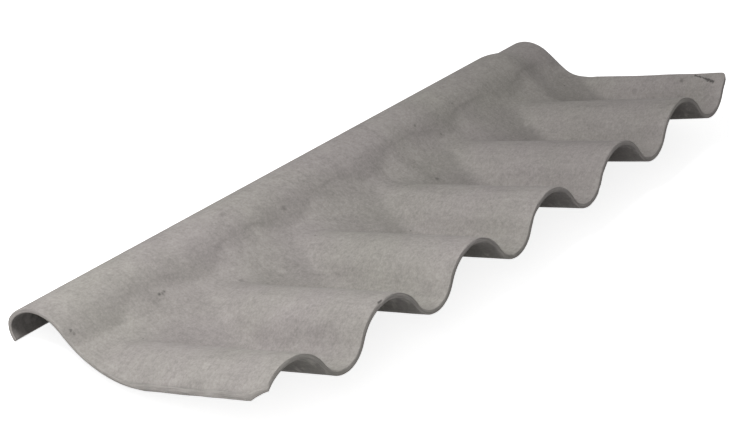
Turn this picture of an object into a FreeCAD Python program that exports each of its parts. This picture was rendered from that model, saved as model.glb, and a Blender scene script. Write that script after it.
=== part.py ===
import FreeCAD, Part
import math
import os

# One wing of a two-piece ridge cap for corrugated roofing sheets, moulded from one sheet of fibre cement.
# X runs along the ridge, the roll is on the +Y side and the wavy outer edge on the -Y side.

doc = FreeCAD.newDocument("ridge_cap")

# driving sizes in millimetres and degrees
sheet = doc.addObject("Spreadsheet::Sheet", "sizes")
SIZES = [
    ("wall", 6.2, "sheet thickness"),
    ("pitch", 177.0, "wave to wave along the ridge"),
    ("wave_depth", 51.0, "trough to crest"),
    ("wave_slope", 56.7, "steepest slope of the wave"),
    ("crest_share", 0.63, "how much of the wave's rounding belongs to the crests"),
    ("cap_length", 1088.0, "overall length along the ridge"),
    ("first_cut", 40.4, "near end, measured past the middle of a trough"),
    ("roll_height", 120.0, "top of the roll over the underside of the troughs"),
    ("crown_radius", 63.0, "outside radius of the roll over its top"),
    ("curl_radius", 25.5, "outside radius of the roll where it curls to its lip"),
    ("curl_start", 37.0, "where the tighter curl begins, measured from the top"),
    ("lip_angle", 124.0, "direction of the free lip, measured from the top"),
    ("flank_angle", 52.5, "slope of the flank that leaves the roll"),
    ("crest_fillet", 38.0, "hollow where a crest meets the flank"),
    ("trough_fillet", 210.0, "hollow where a trough meets the flank"),
    ("trough_reach", 356.0, "middle of the roll to the outer edge along a trough"),
    ("crest_flare", 4.6, "how much further out the crests reach"),
    ("edge_bow", 7.0, "how far the outer edge has warped up at both ends"),
    ("far_skew", 8.0, "how much shorter the far end is sawn at the outer edge than at the lip"),
    ("spigot_step", 6.6, "how much smaller the roll is at the far end"),
    ("spigot_length", 50.0, "straight part of the smaller roll"),
    ("shoulder_length", 48.0, "slope between the two roll sizes"),
    ("mitre_along", 8.0, "cut corner, along the outer edge"),
    ("mitre_across", 23.0, "cut corner, along the near end"),
    ("far_corner", 9.0, "rounded corner at the far end of the outer edge"),
]
for row, (alias, value, note) in enumerate(SIZES, 1):
    sheet.set("A%d" % row, alias)
    sheet.set("B%d" % row, str(value))
    sheet.setAlias("B%d" % row, alias)
    sheet.set("C%d" % row, note)
doc.recompute()


def size(alias):
    return float(sheet.get(alias))


wall = size("wall")
pitch = size("pitch")
depth = size("wave_depth")
length = size("cap_length")
crown = size("crown_radius")
curl = size("curl_radius")
start = math.radians(size("curl_start"))
lip = math.radians(size("lip_angle"))
flank = math.radians(size("flank_angle"))
centre = size("roll_height") - crown
shoulder = length - size("spigot_length") - size("shoulder_length")
uncut = length + 2 * size("far_skew")


# Height of the wave, 0 in a trough and 1 on a crest: two arcs with a straight slope between them.
def wave(x):
    slope = min(math.radians(size("wave_slope")), 1.96 * math.atan(2 * depth / pitch))
    rise, run = math.sin(slope), math.cos(slope)
    both = (pitch / 2 * rise - depth * run) / (1 - run)
    low = both * (1 - size("crest_share"))
    high = both - low
    away = abs((x + size("first_cut") + pitch / 2) % pitch - pitch / 2)
    if away < low * rise:
        return (low - math.sqrt(low * low - away * away)) / depth
    if away < pitch / 2 - high * rise:
        return (low * (1 - run) + (away - low * rise) * rise / run) / depth
    return 1 - (high - math.sqrt(high * high - (pitch / 2 - away) ** 2)) / depth


# A point of the top skin and the slope of the section there. Zone 0 is the curl from the lip, 1 the crown of the roll,
# 2 the straight flank, 3 the hollow and 4 the flat of the wing, each from 0 to 1.
# The level, the hollow and the reach of a section follow the wave; the roll steps down to its spigot at the far end,
# and the wing is warped up a little towards both ends.
def top_point(x, zone, share):
    step = min(max((x - shoulder) / size("shoulder_length"), 0.0), 1.0)
    small = size("spigot_step") * step * step * (3 - 2 * step)
    if zone == 0:
        turn = -lip + (lip - start) * share
        y = -(crown - curl) * math.sin(start) + (curl - small) * math.sin(turn)
        z = centre + (crown - curl) * math.cos(start) + (curl - small) * math.cos(turn)
        return FreeCAD.Vector(x, -y, z), turn
    w = wave(x)
    radius = crown - small
    level = wall + w * depth
    corner = crown * math.sin(flank) + (centre + crown * math.cos(flank) - level) / math.tan(flank)
    away = math.hypot(corner, centre - level)
    slope = math.atan2(centre - level, corner) + math.asin(radius / away)
    line = math.sqrt(away * away - radius * radius)
    hollow = size("trough_fillet") + w ** 1.3 * (size("crest_fillet") - size("trough_fillet"))
    tangent = min(hollow * math.tan(slope / 2), 0.95 * line)
    hollow = tangent / math.tan(slope / 2)
    if zone == 1:
        turn = -start + (slope + start) * share
        y = radius * math.sin(turn)
        z = centre + radius * math.cos(turn)
    elif zone == 2:
        along = (line - tangent) * share
        y = radius * math.sin(slope) + along * math.cos(slope)
        z = centre + radius * math.cos(slope) - along * math.sin(slope)
        turn = slope
    elif zone == 3:
        turn = slope * (1 - share)
        y = corner + tangent - hollow * math.sin(turn)
        z = level + hollow * (1 - math.cos(turn))
    else:
        turn = 0.0
        y = corner + tangent + (size("trough_reach") + w * size("crest_flare") - corner - tangent) * share
        z = level
    bow = size("edge_bow") * (2 * x / length - 1) ** 2 / size("trough_reach") ** 2 if y > 0 else 0.0
    turn = math.atan2(math.sin(turn) - 2 * bow * y * math.cos(turn), math.cos(turn))
    return FreeCAD.Vector(x, -y, z + bow * y * y), turn


def over_point(x, zone, share):
    return top_point(x, zone, share)[0]


# the point of the underside that faces it, one wall thickness in, at the same x
def under_point(x, zone, share):
    foot = x
    for attempt in range(6):
        turn = top_point(foot, zone, share)[1]
        lengthwise = over_point(foot + 0.2, zone, share) - over_point(foot - 0.2, zone, share)
        across = FreeCAD.Vector(0, -math.cos(turn), -math.sin(turn))
        normal = lengthwise.cross(across).normalize()
        foot = x - wall * normal.x
    place = over_point(foot, zone, share) + normal * wall
    return FreeCAD.Vector(x, place.y, place.z)


# A smooth curve through points at given parameters, straight between two of them.
def curve_through(points, values):
    curve = Part.BSplineCurve()
    curve.interpolate(Points=points, Parameters=values)
    return curve


# A smooth face through a grid of points, rows along the ridge and shares across a zone.
def face_through(skin_point, zone, places, shares):
    rows = [curve_through([skin_point(x, zone, share) for x in places], places) for share in shares]
    lines = [curve_through([row.getPole(n + 1) for row in rows], shares) for n in range(rows[0].NbPoles)]
    surface = Part.BSplineSurface()
    surface.buildFromPolesMultsKnots(
        [line.getPoles() for line in lines],
        rows[0].getMultiplicities(), lines[0].getMultiplicities(),
        rows[0].getKnots(), lines[0].getKnots(), False, False, rows[0].Degree, lines[0].Degree)
    return surface


# Columns of points, four to a quarter of a wave, and a separate face for each quarter; the straight roll needs no columns.
quarters = max(4, int(round(4 * uncut / pitch)))
PLACES = [uncut * n / (4 * quarters) for n in range(4 * quarters + 1)]
SHARES = [[n / count for n in range(count + 1)] for count in (5, 6, 1, 6, 1)]


def skin_faces(skin_point):
    faces = []
    for zone, shares in enumerate(SHARES):
        whole = face_through(skin_point, zone, PLACES, shares)
        for n in range(quarters):
            low, high = PLACES[4 * n], PLACES[4 * n + 4]
            if zone == 0 and high + pitch / 2 < shoulder:
                patch = face_through(skin_point, zone, [low, high], shares)
            else:
                patch = whole.copy()
                patch.segment(low, high, 0.0, 1.0)
            faces.append(patch)
    return faces


# The sheet, a little longer than it ends up: top skin, underside, the narrow faces of the lip and the outer edge, and the ends.
top = skin_faces(over_point)
under = skin_faces(under_point)
faces = [patch.toShape() for patch in top + under]
for n in list(range(quarters)) + list(range(4 * quarters, 5 * quarters)):
    value = 0.0 if n < quarters else 1.0
    faces.append(Part.makeRuledSurface(top[n].vIso(value).toShape(), under[n].vIso(value).toShape()))
for x, n in ((0.0, 0), (uncut, quarters - 1)):
    rim = [patches[zone * quarters + n].uIso(x).toShape() for patches in (top, under) for zone in range(5)]
    rim.append(Part.makeLine(over_point(x, 0, 0.0), under_point(x, 0, 0.0)))
    rim.append(Part.makeLine(over_point(x, 4, 1.0), under_point(x, 4, 1.0)))
    faces.append(Part.Face(Part.Wire(Part.__sortEdges__(rim))))
shell = Part.Compound(faces)
shell.sewShape(0.01)
solid = Part.makeSolid(shell.Shells[0])
if solid.Volume < 0:
    solid.reverse()
moulded = doc.addObject("Part::Feature", "moulded_sheet")
moulded.Shape = solid
moulded.Placement = FreeCAD.Placement(FreeCAD.Vector(-length / 2, 0, 0), FreeCAD.Rotation())

# the cut corner at the near end of the outer edge
mitre = doc.addObject("Part::Wedge", "mitre")
mitre.setExpression("Xmin", "-2 * sizes.mitre_along")
mitre.setExpression("Xmax", "3 * sizes.mitre_along")
mitre.setExpression("X2min", "-2 * sizes.mitre_along")
mitre.setExpression("X2max", "-sizes.mitre_along")
mitre.setExpression("Ymin", "-2 * sizes.mitre_across")
mitre.setExpression("Ymax", "2 * sizes.mitre_across")
mitre.setExpression("Zmin", "-sizes.roll_height")
mitre.setExpression("Zmax", "2 * sizes.roll_height")
mitre.setExpression("Z2min", "-sizes.roll_height")
mitre.setExpression("Z2max", "2 * sizes.roll_height")
mitre.setExpression("Placement.Base.x", "-sizes.cap_length / 2")
mitre.setExpression("Placement.Base.y", "-sizes.trough_reach")

# the far end, sawn off a little askew
saw = doc.addObject("Part::Wedge", "far_saw")
saw.setExpression("Xmin", "-sizes.far_skew - sizes.far_skew * sizes.far_corner / sizes.trough_reach")
saw.setExpression("X2min", "sizes.far_skew * sizes.roll_height / sizes.trough_reach")
saw.setExpression("Xmax", "4 * sizes.far_skew")
saw.setExpression("X2max", "4 * sizes.far_skew")
saw.setExpression("Ymin", "-sizes.trough_reach - sizes.far_corner")
saw.setExpression("Ymax", "sizes.roll_height")
saw.setExpression("Zmin", "-sizes.roll_height")
saw.setExpression("Zmax", "2 * sizes.roll_height")
saw.setExpression("Z2min", "-sizes.roll_height")
saw.setExpression("Z2max", "2 * sizes.roll_height")
saw.setExpression("Placement.Base.x", "sizes.cap_length / 2 - sizes.far_skew * sizes.crown_radius / sizes.trough_reach")

# the rounded corner at its far end: a block less a round post
block = doc.addObject("Part::Box", "corner_block")
block.setExpression("Length", "3 * sizes.far_corner")
block.setExpression("Width", "3 * sizes.far_corner")
block.setExpression("Height", "3 * sizes.roll_height")
block.setExpression("Placement.Base.x", "sizes.cap_length / 2 - sizes.far_corner - 1.15 * sizes.far_skew")
block.setExpression("Placement.Base.y", "-sizes.trough_reach - sizes.crest_flare / 2 - 2 * sizes.far_corner")
block.setExpression("Placement.Base.z", "-sizes.roll_height")
post = doc.addObject("Part::Cylinder", "corner_post")
post.setExpression("Radius", "sizes.far_corner")
post.setExpression("Height", "3 * sizes.roll_height")
post.setExpression("Placement.Base.x", "sizes.cap_length / 2 - sizes.far_corner - 1.15 * sizes.far_skew")
post.setExpression("Placement.Base.y", "-sizes.trough_reach - sizes.crest_flare / 2 + sizes.far_corner")
post.setExpression("Placement.Base.z", "-sizes.roll_height")
waste = doc.addObject("Part::Cut", "corner_waste")
waste.Base = block
waste.Tool = post
sawn = doc.addObject("Part::Cut", "sawn_sheet")
sawn.Base = moulded
sawn.Tool = saw
mitred = doc.addObject("Part::Cut", "mitred_sheet")
mitred.Base = sawn
mitred.Tool = mitre
cap = doc.addObject("Part::Cut", "ridge_cap")
cap.Base = mitred
cap.Tool = waste
cap.Label = "ridge_cap"
doc.recompute()

# It lies on the roll's lip and the bellies of the troughs: the lowest line under its centre of mass,
# found from a section through the middle of a trough.
middle = round((length / 2 + size("first_cut")) / pitch) * pitch - size("first_cut") - length / 2
outline = []
for wire in cap.Shape.slice(FreeCAD.Vector(1, 0, 0), middle):
    outline += [(p.y, p.z) for p in wire.discretize(Deflection=0.01)]
lower = []
for p in sorted(outline):
    while len(lower) > 1 and ((lower[-1][0] - lower[-2][0]) * (p[1] - lower[-2][1])
                              <= (lower[-1][1] - lower[-2][1]) * (p[0] - lower[-2][0])):
        lower.pop()
    lower.append(p)
mass = cap.Shape.Solids[0].CenterOfMass
tilt = 0.0
for (ya, za), (yb, zb) in zip(lower, lower[1:]):
    dy, dz = yb - ya, zb - za
    share = ((mass.y - ya) * dy + (mass.z - za) * dz) / (dy * dy + dz * dz)
    if 0 <= share <= 1 and dy > 20:
        tilt = math.degrees(math.atan2(dz, dy))
cap.Placement = FreeCAD.Placement(FreeCAD.Vector(0, 0, 0), FreeCAD.Rotation(FreeCAD.Vector(1, 0, 0), -tilt))
box = cap.Shape.optimalBoundingBox(False, False)
cap.Placement = FreeCAD.Placement(
    FreeCAD.Vector(-(box.XMin + box.XMax) / 2, -(box.YMin + box.YMax) / 2, -box.ZMin),
    FreeCAD.Rotation(FreeCAD.Vector(1, 0, 0), -tilt))
doc.recompute()

for thing in doc.Objects:
    if "Invalid" in thing.State or "Error" in thing.State:
        raise RuntimeError("%s failed to build: %s" % (thing.Name, thing.State))
if cap.Shape.isNull() or not cap.Shape.isValid() or len(cap.Shape.Solids) != 1:
    raise RuntimeError("ridge_cap is not one sound solid")

os.makedirs("parts", exist_ok=True)
cap.Shape.Solids[0].exportStep("parts/%s.step" % cap.Label)
print("tilt", round(tilt, 3), "volume", round(cap.Shape.Volume, 0), cap.Shape.optimalBoundingBox(False, False),
      "mass centre", cap.Shape.Solids[0].CenterOfMass, "shift", cap.Placement.Base)
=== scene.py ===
import math

import bpy
import mathutils
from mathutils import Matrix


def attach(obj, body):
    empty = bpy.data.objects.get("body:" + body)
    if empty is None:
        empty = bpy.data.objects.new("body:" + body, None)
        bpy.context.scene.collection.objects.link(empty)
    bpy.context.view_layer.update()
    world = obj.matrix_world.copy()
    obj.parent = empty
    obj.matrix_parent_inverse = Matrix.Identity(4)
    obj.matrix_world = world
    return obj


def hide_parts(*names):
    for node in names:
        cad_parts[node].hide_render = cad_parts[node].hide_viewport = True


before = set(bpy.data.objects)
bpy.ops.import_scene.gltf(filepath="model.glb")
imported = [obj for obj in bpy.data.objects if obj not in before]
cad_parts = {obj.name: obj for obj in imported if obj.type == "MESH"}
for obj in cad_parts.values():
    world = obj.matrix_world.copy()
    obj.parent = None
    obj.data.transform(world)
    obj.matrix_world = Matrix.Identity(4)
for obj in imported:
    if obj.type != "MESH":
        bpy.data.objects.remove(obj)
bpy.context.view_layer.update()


# The ridge cap is one sheet of fibre cement, laid damp over a mould and pressed to shape: a wavy wing that
# laps the roof sheets, and a roll that covers the ridge and steps down to a spigot for the next cap in the row.
# Once it has set, its ends and its outer edge are sawn, so those faces are flat and rough, with worn arrises.
CAP = {
    "Wall": 0.0062, "Pitch": 0.177, "Wave Depth": 0.051, "Wave Slope": math.radians(56.7), "Crest Share": 0.63,
    "Length": 1.088, "First Cut": 0.0404, "Roll Height": 0.120, "Crown Radius": 0.063, "Curl Radius": 0.0255,
    "Curl Start": math.radians(37.0), "Lip Angle": math.radians(124.0), "Flank Angle": math.radians(52.5),
    "Crest Fillet": 0.038, "Trough Fillet": 0.210, "Trough Reach": 0.356, "Crest Flare": 0.0046,
    "Edge Bow": 0.007, "Far Skew": 0.008,
    "Spigot Step": 0.0066, "Spigot Length": 0.050, "Shoulder Length": 0.048,
    "Mitre Along": 0.008, "Mitre Across": 0.023, "Far Corner": 0.009, "Arris": 0.0009, "Chip": 0.0021,
    "Knock At": 0.2126, "Knock Width": 0.006, "Unevenness": 0.003,
    "Tilt": math.radians(17.345), "Shift X": 0.000242, "Shift Y": 0.133399, "Shift Z": -0.055557,
}
COLUMNS, ROWS, LAYERS = 360, 112, 7


class Term:
    """A socket of a node tree. Sums on it add Math nodes; node() adds any other node."""

    def __init__(self, tree, socket=None):
        self.tree, self.socket = tree, socket

    def node(self, kind, settings=None, values=None, output=0):
        made = self.tree.nodes.new(kind)
        for name, setting in (settings or {}).items():
            setattr(made, name, setting)
        for name, value in (values or {}).items():
            if isinstance(value, Term):
                self.tree.links.new(value.socket, made.inputs[name])
            else:
                made.inputs[name].default_value = value
        return Term(self.tree, made.outputs[output] if made.outputs else None)

    def math(self, operation, *values):
        return self.node("ShaderNodeMath", {"operation": operation}, dict(enumerate(values)))

    def vector(self, operation, *values, output=0):
        return self.node("ShaderNodeVectorMath", {"operation": operation}, dict(enumerate(values)), output)

    def xyz(self, *values):
        return self.node("ShaderNodeCombineXYZ", None, dict(enumerate(values)))

    def part(self, axis):
        return self.node("ShaderNodeSeparateXYZ", None, {0: self}, axis)

    def __add__(self, other):
        return self.math("ADD", self, other)

    def __radd__(self, other):
        return self.math("ADD", other, self)

    def __sub__(self, other):
        return self.math("SUBTRACT", self, other)

    def __rsub__(self, other):
        return self.math("SUBTRACT", other, self)

    def __mul__(self, other):
        return self.math("MULTIPLY", self, other)

    def __rmul__(self, other):
        return self.math("MULTIPLY", other, self)

    def __truediv__(self, other):
        return self.math("DIVIDE", self, other)

    def __rtruediv__(self, other):
        return self.math("DIVIDE", other, self)

    def __pow__(self, other):
        return self.math("POWER", self, other)

    def sin(self):
        return self.math("SINE", self)

    def cos(self):
        return self.math("COSINE", self)

    def tan(self):
        return self.math("TANGENT", self)

    def sqrt(self):
        return self.math("SQRT", self)

    def least(self, other):
        return self.math("MINIMUM", self, other)

    def most(self, other):
        return self.math("MAXIMUM", self, other)

    def past(self, border):
        return self.math("GREATER_THAN", self, border)

    def between(self, low, high):
        return self.most(low).least(high)

    def rising(self, start, rate):
        """0 up to start, then up to 1."""
        return ((self - start) * rate).between(0.0, 1.0)

    def falling(self, end, rate):
        """1 and then down to 0 at end."""
        return ((end - self) * rate).between(0.0, 1.0)

    def apart(self, place):
        """The distance from place, on either side of it."""
        gap = self - place
        return gap.math("ABSOLUTE", gap)

    def fade(self, reach):
        """1 where this is 0, and 0 from reach on."""
        return (1 - self / reach).most(0.0)

    def leg(self, other):
        """The second leg of a right triangle, whose long side this is."""
        return (self * self - other * other).most(0.0).sqrt()


def new_group(name, inputs, outputs):
    tree = bpy.data.node_groups.new(name, "GeometryNodeTree")
    for label, kind in inputs:
        tree.interface.new_socket(label, in_out="INPUT", socket_type=kind)
    for label, kind in outputs:
        tree.interface.new_socket(label, in_out="OUTPUT", socket_type=kind)
    start = tree.nodes.new("NodeGroupInput")
    return tree, {socket.name: Term(tree, socket) for socket in start.outputs if socket.name}


def numbers(*labels):
    return [(label, "NodeSocketFloat") for label in labels]


# The section of the cap at a place along the ridge. A point walks across it from the lip to the outer edge: round
# the curl, over the crown, down the straight flank, through the hollow and out along the flat of the wing.
# Each of these stretches has its own share of the rows, and the rows crowd towards the outer edge.
CROWN_FROM, FLANK_FROM, HOLLOW_FROM, FLAT_FROM = 0.13, 0.33, 0.41, 0.66
STRETCHES = ((0.0, CROWN_FROM), (CROWN_FROM, FLANK_FROM), (FLANK_FROM, HOLLOW_FROM), (HOLLOW_FROM, FLAT_FROM),
             (FLAT_FROM, 1.0))
EDGE_CROWDING = 1.5
FILLET_POWER = 1.3
FLANK_USED = 0.95

section, size = new_group("cap_section", numbers("Along", "Across", "Trim", *CAP),
                          numbers("Out", "Up", "Turn", "To Edge"))
term = Term(section)
along, across = size["Along"], size["Across"]

# the wave: a round trough, a straight slope and a round crest, in each half pitch
rise, run = size["Wave Slope"].sin(), size["Wave Slope"].cos()
half = size["Pitch"] * 0.5
both_radii = (half * rise - size["Wave Depth"] * run) / (1 - run)
crest = both_radii * size["Crest Share"]
trough = both_radii - crest
from_trough = term.math("PINGPONG", along + size["First Cut"], half)
in_trough = from_trough.least(trough * rise)
in_crest = (half - from_trough).least(crest * rise)
in_slope = (from_trough - trough * rise).between(0.0, half - both_radii * rise)
height = trough - trough.leg(in_trough) + in_slope * rise / run + crest.leg(in_crest) - crest * run
wave = height / size["Wave Depth"]

# the roll, which steps down to the spigot past its shoulder
shoulder = size["Length"] - size["Spigot Length"] - size["Shoulder Length"]
step = term.node("ShaderNodeMapRange", {"interpolation_type": "SMOOTHSTEP"},
                 {0: along, 1: shoulder, 2: shoulder + size["Shoulder Length"], 3: 0.0, 4: size["Spigot Step"]})
crown, start, flank = size["Crown Radius"], size["Curl Start"], size["Flank Angle"]
centre = size["Roll Height"] - crown
radius = crown - step
curl = size["Curl Radius"] - step
curl_offset = crown - size["Curl Radius"]
lip = size["Lip Angle"] - size["Trim"] / curl

# the flank, a straight line from the crown to the wing, and the hollow that rounds it into the wave below
level = size["Wall"] + height
corner = crown * flank.sin() + (centre + crown * flank.cos() - level) / flank.tan()
reach = (corner * corner + (centre - level) * (centre - level)).sqrt()
slope = term.math("ARCTAN2", centre - level, corner) + term.math("ARCSINE", radius / reach)
flank_line = reach.leg(radius)
fillet = size["Trough Fillet"] + wave.most(0.0) ** FILLET_POWER * (size["Crest Fillet"] - size["Trough Fillet"])
tangent = (fillet * (slope * 0.5).tan()).least(flank_line * FLANK_USED)
hollow = tangent / (slope * 0.5).tan()
flat = size["Trough Reach"] + wave * size["Crest Flare"] - corner - tangent - size["Trim"]

on_curl, on_crown, on_flank, on_hollow, on_flat = (across.rising(a, 1 / (b - a)) for a, b in STRETCHES)
curl_turn = (lip - start) * on_curl - lip
crown_turn = (slope + start) * on_crown - start
hollow_turn = slope * (1 - on_hollow)
straight = (flank_line - tangent) * on_flank
edge_share = 1 - (1 - on_flat) ** EDGE_CROWDING
out = curl * curl_turn.sin() - curl_offset * start.sin() + radius * (crown_turn.sin() + start.sin()) \
    + straight * slope.cos() + hollow * (slope.sin() - hollow_turn.sin()) + flat * edge_share
up = centre + curl_offset * start.cos() + curl * curl_turn.cos() + radius * (crown_turn.cos() - start.cos()) \
    - straight * slope.sin() + hollow * (slope.cos() - hollow_turn.cos())
turn = curl_turn + crown_turn + start - slope + hollow_turn
to_edge = flat * (1 - edge_share) + (1 - on_hollow)

# the wing is warped up towards both ends, the more the further out
ends = along * 2.0 / size["Length"] - 1.0
wing = out.most(0.0)
bow = size["Edge Bow"] * ends * ends / (size["Trough Reach"] * size["Trough Reach"])
up = up + bow * wing * wing
turn = term.math("ARCTAN2", turn.sin() - bow * wing * turn.cos() * 2.0, turn.cos())
section_end = section.nodes.new("NodeGroupOutput")
for label, value in (("Out", out), ("Up", up), ("Turn", turn), ("To Edge", to_edge)):
    section.links.new(value.socket, section_end.inputs[label])

# The sheet starts as a thin block of columns along the ridge, rows across it and layers through its wall.
# The outer layers draw back at all four sides by the worn arris, which is chipped and has one knock, and the two
# cut corners shorten the columns there. The pressed skin is uneven by about a millimetre.
MID_LAYER, ARRIS_LAYERS = (LAYERS - 1) / 2, 2
WEAR_RATES, CHIP_RATES, UNEVEN_RATES = (90.0, 24.0), (55.0, 19.0), (15.0, 7.0)
UNDERSIDE_DRAW = 7.3
FOOT_ROUNDS, FOOT_STEP = 4, 0.0002
RIM_WIDTH = 0.02

sheet, size = new_group("cap_sheet",
                        [("Columns", "NodeSocketInt"), ("Rows", "NodeSocketInt"), ("Layers", "NodeSocketInt"),
                         ("Finish", "NodeSocketMaterial")] + numbers(*CAP),
                        [("Geometry", "NodeSocketGeometry")])
term = Term(sheet)


def section_at(along, across, trim):
    made = sheet.nodes.new("GeometryNodeGroup")
    made.node_tree = section
    for label in CAP:
        sheet.links.new(size[label].socket, made.inputs[label])
    for label, value in (("Along", along), ("Across", across), ("Trim", trim)):
        sheet.links.new(value.socket, made.inputs[label])
    return [Term(sheet, made.outputs[label]) for label in ("Out", "Up", "Turn", "To Edge")]


def sheet_noise(dimensions, place, detail):
    return term.node("ShaderNodeTexNoise", {"noise_dimensions": dimensions},
                     {"Vector": place, "Scale": 1.0, "Detail": detail})


block = term.node("GeometryNodeMeshCube", None, {"Size": (1.0, 1.0, 1.0), "Vertices X": size["Columns"],
                                                 "Vertices Y": size["Rows"], "Vertices Z": size["Layers"]})
place = term.node("GeometryNodeInputPosition")
column, row, layer = place.part(0) + 0.5, 0.5 - place.part(1), 0.5 - place.part(2)
lower_half = layer.past(0.5)

# the worn arris, and each point's depth in the wall
wear, chips = (sheet_noise("3D", term.xyz(column * by_column, row * by_row, lower_half * UNDERSIDE_DRAW), 2.0)
               for by_column, by_row in (WEAR_RATES, CHIP_RATES))
knock = (column * size["Length"]).apart(size["Knock At"]).fade(size["Knock Width"]) \
    * (1 - lower_half) * row.past(0.5)
past_near_end = (column * 16.0 - 1.0).between(0.0, 1.0)
chipped = ((chips - 0.60) * 9.0).between(0.0, 0.7) * past_near_end
arris = size["Arris"] * (wear * 1.5 + 0.1) + size["Chip"] * chipped.most(knock)
deep = MID_LAYER - (layer * (LAYERS - 1)).apart(MID_LAYER)
bend = (deep / ARRIS_LAYERS).least(1.0) * (math.pi / 2)
trim = arris * (1 - bend.sin())
near_skin = arris * (1 - bend.cos()) + (deep - ARRIS_LAYERS).most(0.0) * (size["Wall"] * 0.5 - arris)
in_wall = near_skin + lower_half * (size["Wall"] - near_skin * 2.0)

# the unevenness keeps off the bearing troughs, the lip and the outer edge
crest_share = term.math("PINGPONG", column * size["Length"] + size["First Cut"], size["Pitch"] * 0.5) \
    * 2.0 / size["Pitch"]
free = row.rising(0.18, 8.0) * row.falling(1.0, 9.0) * crest_share.most(1 - row * 2.3)
uneven = sheet_noise("2D", term.xyz(column * UNEVEN_RATES[0], row * UNEVEN_RATES[1]), 1.0)
depth = in_wall + (uneven - 0.5) * free * size["Unevenness"]

# the sawn ends: the near one mitred at its outer corner, the far one askew and rounded there
uncut_out, _, _, uncut_to_edge = section_at(column * size["Length"], row, trim)
far_corner = size["Far Corner"]
bite = (far_corner - uncut_to_edge).most(0.0)
skew = size["Far Skew"] * (size["Crown Radius"] + uncut_out) / size["Trough Reach"]
near_end = size["Mitre Along"] * uncut_to_edge.fade(size["Mitre Across"]) + trim
far_end = size["Length"] - skew - far_corner + far_corner.leg(bite) - trim
along = near_end + column * (far_end - near_end)

# each point goes one depth in from the top skin, square to it, and stays at its own place along the ridge
foot = along
for _ in range(FOOT_ROUNDS):
    after, before = section_at(foot + FOOT_STEP, row, trim), section_at(foot - FOOT_STEP, row, trim)
    turn = (after[2] + before[2]) * 0.5
    out_rate, up_rate = ((after[i] - before[i]) / (FOOT_STEP * 2) for i in (0, 1))
    lean = out_rate * turn.sin() + up_rate * turn.cos()
    inset = depth / (lean * lean + 1.0).sqrt()
    foot = along - lean * inset
out, up, turn, to_edge = section_at(foot, row, trim)

# painted shade in the hollows behind the crests, stronger towards the far end, and painted highlights on the
# crown and the upper hollow, stronger towards the near end; also a darker band along the flank and a darker outer
# wing towards the far end
trough_gap = term.math("PINGPONG", along + size["First Cut"] - 0.020, size["Pitch"] * 0.5)
in_hollow = row.rising(0.42, 7.0) * row.falling(0.635, 16.0)
hollow_painted_shade = (trough_gap.fade(0.055) * in_hollow * (column * 2.2 + 0.25)).least(1.6)
flank_darkening = row.apart(0.372).fade(0.07) * uneven * 1.6
outer_wing_darkening = column.apart(0.74).fade(0.3) * row.rising(0.60, 5.0) * 0.8
hollow_painted_highlight = row.apart(0.46).fade(0.06) * (0.6 - column * 0.6)
crown_painted_highlight = row.apart(0.23).fade(0.09) * (0.6 - column * 0.45)
to_rim = (along - near_end).least(far_end - along).least(to_edge)

# what the finish reads from the sheet is stored before its points move
FINISH_MARKS = {
    "sawn": (deep - 1.0).between(0.0, 1.0),
    "under": lower_half,
    # painted shade in the hollows and painted highlights on the crown and upper hollow, with the darker flank
    # band and outer wing
    "painted_shading_and_darkening": hollow_painted_shade + flank_darkening - hollow_painted_highlight - crown_painted_highlight + outer_wing_darkening,
    # painted shade inside the roll, on its underside
    "painted_roll_shade": lower_half * row.falling(0.42, 6.0),
    "inward": (to_rim / RIM_WIDTH).between(0.0, 1.0),
    "through": in_wall / size["Wall"],
}
marked = block
for label, value in FINISH_MARKS.items():
    marked = term.node("GeometryNodeStoreNamedAttribute", {"data_type": "FLOAT", "domain": "POINT"},
                       {"Geometry": marked, "Name": label, "Value": value})
formed = term.node("GeometryNodeSetPosition", None, {
    "Geometry": marked, "Position": term.xyz(along, turn.sin() * inset - out, up - turn.cos() * inset)})
laid = term.node("GeometryNodeTransform", None, {
    "Geometry": formed,
    "Translation": term.xyz(size["Shift X"] - size["Length"] * 0.5, size["Shift Y"], size["Shift Z"]),
    "Rotation": term.xyz(size["Tilt"] * -1.0)})
smooth = term.node("GeometryNodeSetShadeSmooth", None, {"Geometry": laid})
plain = term.node("GeometryNodeRealizeInstances", None, {"Geometry": smooth})
coated = term.node("GeometryNodeSetMaterial", None, {"Geometry": plain, "Material": size["Finish"]})
sheet_end = sheet.nodes.new("NodeGroupOutput")
sheet.links.new(coated.socket, sheet_end.inputs["Geometry"])

# Bare fibre cement: a matte warm grey skin, clouded where the damp sheet dried unevenly, with the felt's fine
# grain, hair-thin fibres, a few pits and scuffs, and smears underneath. Painted shade lies in the hollows behind
# the crests and inside the roll, and painted highlights lie on the crown.
# The sawn faces are a little paler and open, and show the plies that the sheet was built up from.
GREYS = (0.321, 0.306, 0.281, 1.0), (0.325, 0.300, 0.290, 1.0)
PIT_CELLS, PIT_REACH, PIT_SHARE = 34.0, 0.055, 0.13
PLY_RATE, PLY_COUNT = 45.0, 4.0
NEAR_END_X = -0.52

fibre_cement = bpy.data.materials.new("fibre_cement")
fibre_cement.use_nodes = True
fibre_cement.node_tree.nodes.clear()
term = Term(fibre_cement.node_tree)
coords = term.node("ShaderNodeTexCoord", output="Object")
# the painted shading and the roll's painted shade are read back here with the other marks
sawn, under, painted_shading_and_darkening, painted_roll_shade, inward, through = (
    term.node("ShaderNodeAttribute", {"attribute_name": label}, output="Fac") for label in FINISH_MARKS)


def noise(scale, detail, roughness=0.55, stretch=(1.0, 1.0, 1.0), turn=0.0, output=0):
    place = term.node("ShaderNodeMapping", None,
                      {"Vector": coords, "Rotation": (0.0, 0.0, turn), "Scale": stretch})
    return term.node("ShaderNodeTexNoise", None,
                     {"Vector": place, "Scale": scale, "Detail": detail, "Roughness": roughness}, output)


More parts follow.
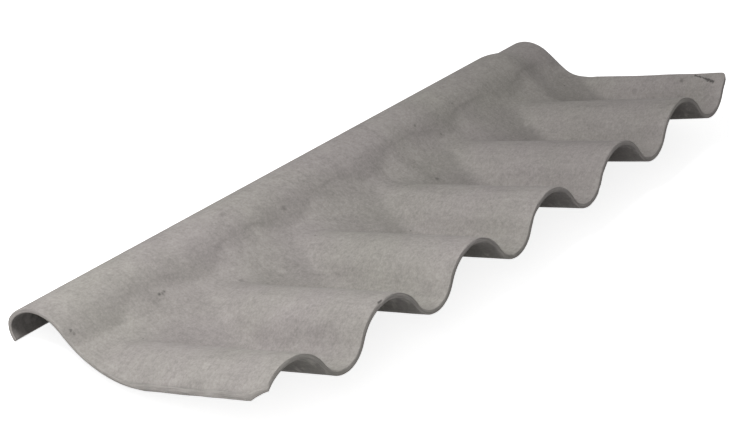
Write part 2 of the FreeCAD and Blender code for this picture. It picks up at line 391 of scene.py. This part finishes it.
clouds = noise(7.0, 3.0) - 0.5
mottle = noise(38.0, 4.0, 0.6) - 0.5
felt = noise(330.0, 3.0, 0.6) - 0.5
grain = noise(1100.0, 2.0) - 0.5
speck = noise(150.0, 3.0, 0.65) - 0.5
streaks = noise(48.0, 3.0, 0.65, (5.0, 0.5, 1.0), 0.1) - 0.5
open_grain = noise(700.0, 3.0, 0.7) - 0.5
fibres = noise(62.0, 1.0, 0.5, (1.0, 9.0, 4.0), 0.6).rising(0.6, 4.0) \
    + noise(62.0, 1.0, 0.5, (9.0, 1.0, 4.0), 0.35).rising(0.6, 4.0)
smears = (noise(9.0, 3.0, 0.6, (3.2, 0.7, 1.0), -0.7) - 0.56).most(0.0)
pale_smears = noise(30.0, 3.0, 0.6, (1.0, 2.4, 1.0), 0.9).rising(0.56, 7.0)
scuffs = noise(26.0, 2.0, 0.5, (1.0, 9.0, 4.0), 0.45).rising(0.66, 6.0) * noise(11.0, 1.0).rising(0.52, 8.0)
hue = ((noise(6.0, 2.0) - 0.5) * 3.0 + 0.5).between(0.0, 1.0)
plies = term.node("ShaderNodeTexNoise", None, {
    "Vector": term.xyz(coords.part(0) * PLY_RATE, coords.part(1) * PLY_RATE, through * PLY_COUNT),
    "Scale": 1.0, "Detail": 2.0, "Roughness": 0.6}) - 0.5
near_end_painted_light = coords.part(0).falling(NEAR_END_X, 60.0)

# pits a millimetre or two wide, in about one cell of eight
pit_gap, cell_colour = (term.node("ShaderNodeTexVoronoi", {"feature": "F1"},
                                  {"Vector": coords, "Scale": PIT_CELLS}, output)
                        for output in ("Distance", "Color"))
cell_draw = term.node("ShaderNodeSeparateColor", None, {0: cell_colour}, 0)
pits = pit_gap.falling(PIT_REACH, 40.0) * cell_draw.math("LESS_THAN", cell_draw, PIT_SHARE)

# the marks that this cap carries, with their edges shaken out of true: dots at places, strokes along points
SHAKE = 0.006
MARK_STRENGTH = 1.7
shaken = term.vector("MULTIPLY_ADD", noise(260.0, 2.0, output="Color"), (SHAKE, SHAKE, SHAKE), coords)


def settled(place):
    return [value + SHAKE / 2 for value in place]


def strongest(centres, reach):
    fades = [term.vector("DISTANCE", shaken, centre, output="Value").fade(reach) for centre in centres]
    most = fades[0]
    for other in fades[1:]:
        most = most.most(other)
    return (most * MARK_STRENGTH).least(1.0)


def dots(reach, *places):
    return strongest([settled(place) for place in places], reach)


def stroke(reach, *points):
    feet = []
    for start, end in zip(points, points[1:]):
        span = [b - a for a, b in zip(start, end)]
        from_start = term.vector("SUBTRACT", shaken, settled(start))
        share = term.vector("DOT_PRODUCT", from_start, span, output="Value") / sum(side * side for side in span)
        run = term.node("ShaderNodeVectorMath", {"operation": "SCALE"},
                        {0: span, "Scale": share.between(0.0, 1.0)})
        feet.append(term.vector("ADD", run, settled(start)))
    return strongest(feet, reach)


crease = stroke(0.0019, (0.5324, -0.1438, 0.0860), (0.5272, -0.1612, 0.0877), (0.5220, -0.1786, 0.0894)).most(
    stroke(0.0030, (0.5263, -0.1640, 0.0880), (0.5220, -0.1786, 0.0894)))
scratches = stroke(0.0024, (0.3524, 0.1334, 0.0596), (0.3445, 0.1150, 0.0512), (0.3366, 0.0953, 0.0378)).most(
    stroke(0.0024, (0.3445, 0.0790, 0.0293), (0.3524, 0.0635, 0.0247), (0.3386, 0.0291, 0.0190)))
knocks = crease.most(dots(0.0042, (-0.3312, -0.1932, 0.1079), (-0.3290, -0.1938, 0.1085)))
dark_pits = dots(0.0024, (-0.3960, 0.0955, 0.0380), (-0.3866, 0.0952, 0.0380), (-0.3912, 0.0935, 0.0375),
                 (-0.5334, 0.1087, 0.0467))
small_pits = dots(0.0030, (0.2704, 0.1185, 0.0532), (0.1725, 0.1185, 0.0532), (0.2046, 0.0923, 0.0350),
                  (-0.5319, 0.1044, 0.0436))
spots = dots(0.0045, (0.1191, 0.0383, 0.0137), (0.5255, -0.1261, 0.0744), (-0.3960, 0.0955, 0.0380),
             (-0.3912, 0.0935, 0.0375))
faint_spots = dots(0.0055, (-0.2887, 0.0539, 0.0245), (-0.1369, 0.1087, 0.0465), (0.1191, 0.0383, 0.0137),
                   (-0.2229, 0.1429, 0.0614), (-0.2200, 0.1436, 0.0616), (0.5255, -0.1261, 0.0744),
                   (0.5156, -0.0531, 0.0387))
rubbed = dots(0.0075, (-0.5185, -0.0915, 0.0736), (-0.1943, -0.1820, 0.0750), (0.3440, -0.1894, 0.0884),
              (-0.2259, 0.0410, 0.0145), (-0.5383, -0.0621, 0.0511), (0.3430, 0.0311, 0.0208))


def layered(base, *shares):
    for pattern, strength in shares:
        base = base + pattern * strength
    return base


# the skin's tone: what varies it, then what darkens it, and the sawn faces over it
tone = layered(1.0, (clouds, 0.18), (mottle, 0.26), (speck, 0.44), (felt, 0.54), (grain, 0.34), (fibres, 0.035),
               (smears, -0.55), (scuffs, 0.08), (rubbed, 0.14), (scratches, 0.05),
               (streaks, under * 0.3 + 0.22), (1 - inward, mottle * 0.25 + 0.02), (under * pale_smears, 0.6))
for pattern, strength in ((pits, 0.36), (dark_pits, 0.46), (knocks, 0.68), (faint_spots, 0.20),
                          # painted shade darkens the inside of the roll
                          (small_pits, 0.3), (spots, 0.22), (under * smears, 0.5), (painted_roll_shade, 0.40),
                          # painted shade in the hollows behind the crests darkens the tone, and painted
                          # highlights on the crown and upper hollow lighten it
                          (painted_shading_and_darkening * (1 - under), mottle * 0.25 + 0.17)):
    tone = tone * (1 - pattern * strength)
# the near end's sawn face is painted lighter, standing in for the light that falls on it there
cut_tone = layered(1.14, (near_end_painted_light, 0.34), (open_grain, 0.5), (mottle, 0.3), (plies, 1.4))
# a painted highlight along the rounded arris where the sawn face meets the skin
painted_rim_highlight = sawn * (1 - sawn) * 4.0
tone = layered(tone, (cut_tone - tone, sawn), (painted_rim_highlight, 0.03))
grey = term.node("ShaderNodeMix", {"data_type": "RGBA"}, {0: hue, 6: GREYS[0], 7: GREYS[1]}, 2)
relief = layered(felt * 0.40, (grain, 0.16), (speck, 0.4), (mottle, 0.5), (fibres, 0.10), (pits, -0.6),
                 (dark_pits, -0.25), (knocks, -0.6), (sawn * open_grain, 1.1), (sawn * plies, 1.2))
shader = term.node("ShaderNodeBsdfPrincipled", None, {
    "Base Color": term.node("ShaderNodeVectorMath", {"operation": "SCALE"}, {0: grey, "Scale": tone}),
    "Roughness": layered(0.88, (mottle, -0.15), (scuffs, -0.06), (sawn, 0.06)).between(0.7, 1.0),
    "Specular IOR Level": 0.28,
    "Normal": term.node("ShaderNodeBump", None, {"Height": relief, "Strength": 0.7, "Distance": 0.0007})})
term.node("ShaderNodeOutputMaterial", None, {"Surface": shader})

cap_mould = bpy.data.objects.new("cap_mould", bpy.data.meshes.new("cap_mould"))
bpy.context.scene.collection.objects.link(cap_mould)
forming = cap_mould.modifiers.new("cap_sheet", "NODES")
forming.node_group = sheet
values = dict(CAP, Columns=COLUMNS, Rows=ROWS, Layers=LAYERS, Finish=fibre_cement)
for item in sheet.interface.items_tree:
    if item.in_out == "INPUT":
        forming[item.identifier] = values[item.name]
bpy.context.view_layer.update()
formed_cap = cap_mould.evaluated_get(bpy.context.evaluated_depsgraph_get())
ridge_cap = bpy.data.objects.new("ridge_cap_sheet", bpy.data.meshes.new_from_object(formed_cap))
bpy.data.objects.remove(cap_mould)
bpy.context.scene.collection.objects.link(ridge_cap)
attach(ridge_cap, "root")
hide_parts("ridge_cap")


# The floor is a white studio floor: plain white to the eye, a duller grey in the light that it throws back,
# as the photograph has dark undersides on a white ground. It keeps the cap's own shadow.
FLOOR_HALF = 30.0
PLAIN_WHITE = (1.0, 1.0, 1.0, 1.0)
floor_corners = [(x * FLOOR_HALF, y * FLOOR_HALF, 0.0) for x, y in ((-1, -1), (1, -1), (1, 1), (-1, 1))]
floor_mesh = bpy.data.meshes.new("studio_floor")
floor_mesh.from_pydata(floor_corners, [], [(0, 1, 2, 3)])
studio_floor = bpy.data.objects.new("studio_floor", floor_mesh)
bpy.context.scene.collection.objects.link(studio_floor)
floor_white = bpy.data.materials.new("floor_white")
floor_white.use_nodes = True
floor_white.node_tree.nodes.clear()


def seen_directly(term):
    rays = [term.node("ShaderNodeLightPath", output=label)
            for label in ("Is Camera Ray", "Is Glossy Ray", "Is Transmission Ray")]
    return rays[0].most(rays[1]).most(rays[2])


term = Term(floor_white.node_tree)
lit = term.node("ShaderNodeBsdfDiffuse", None, {"Color": (0.9, 0.9, 0.9, 1.0)})
glow = term.node("ShaderNodeEmission", None, {"Color": PLAIN_WHITE, "Strength": 0.80})
dull = term.node("ShaderNodeBsdfDiffuse", None, {"Color": (0.26, 0.26, 0.26, 1.0)})
bright = term.node("ShaderNodeAddShader", None, {0: lit, 1: glow})
term.node("ShaderNodeOutputMaterial", None, {
    "Surface": term.node("ShaderNodeMixShader", None, {0: seen_directly(term), 1: dull, 2: bright})})
studio_floor.data.materials.append(floor_white)

# Soft light from all round, and a soft box high over the near end, so that the far end falls off into shade.
# Three large weak lamps fill in from the camera's side, from the outer edge and from behind.
world = bpy.data.worlds.new("studio")
bpy.context.scene.world = world
world.use_nodes = True
world.node_tree.nodes.clear()
term = Term(world.node_tree)
room = term.node("ShaderNodeBackground", None, {"Color": PLAIN_WHITE, "Strength": 0.19})
backdrop = term.node("ShaderNodeBackground", None, {"Color": PLAIN_WHITE, "Strength": 1.0})
term.node("ShaderNodeOutputWorld", None, {
    "Surface": term.node("ShaderNodeMixShader", None, {0: seen_directly(term), 1: room, 2: backdrop})})

LAMP_AIM = mathutils.Vector((-0.15, 0.0, 0.05))
LAMPS = (("soft_box", 24.0, 0.7, (-1.0, 0.2, 1.6)), ("front_fill", 7.2, 1.5, (-1.6, -0.6, 0.85)),
         ("edge_fill", 2.5, 1.2, (0.1, -1.9, 0.8)), ("back_fill", 1.8, 1.5, (0.3, 1.8, 1.0)))
for label, watts, breadth, stand in LAMPS:
    lamp_data = bpy.data.lights.new(label, "AREA")
    lamp_data.shape = "DISK"
    lamp_data.size = breadth
    lamp_data.energy = watts
    lamp = bpy.data.objects.new(label, lamp_data)
    lamp.location = stand
    lamp.rotation_euler = (LAMP_AIM - lamp.location).to_track_quat("-Z", "Y").to_euler()
    bpy.context.scene.collection.objects.link(lamp)


# The camera stands near the plain end of the roll, about two and a half metres off, as in the photograph.
# Its place, its turn and its lens were fitted to the outline of the cap there.
camera_data = bpy.data.cameras.new("camera")
camera_data.sensor_width = 36.0
camera_data.lens = 89.36
camera = bpy.data.objects.new("camera", camera_data)
camera.location = (-1.78361, -1.23846, 1.18528)
camera.rotation_euler = (math.radians(61.4177), math.radians(-1.4004), math.radians(-52.8395))
bpy.context.scene.collection.objects.link(camera)
bpy.context.scene.camera = camera
bpy.context.scene.view_settings.view_transform = "Standard"
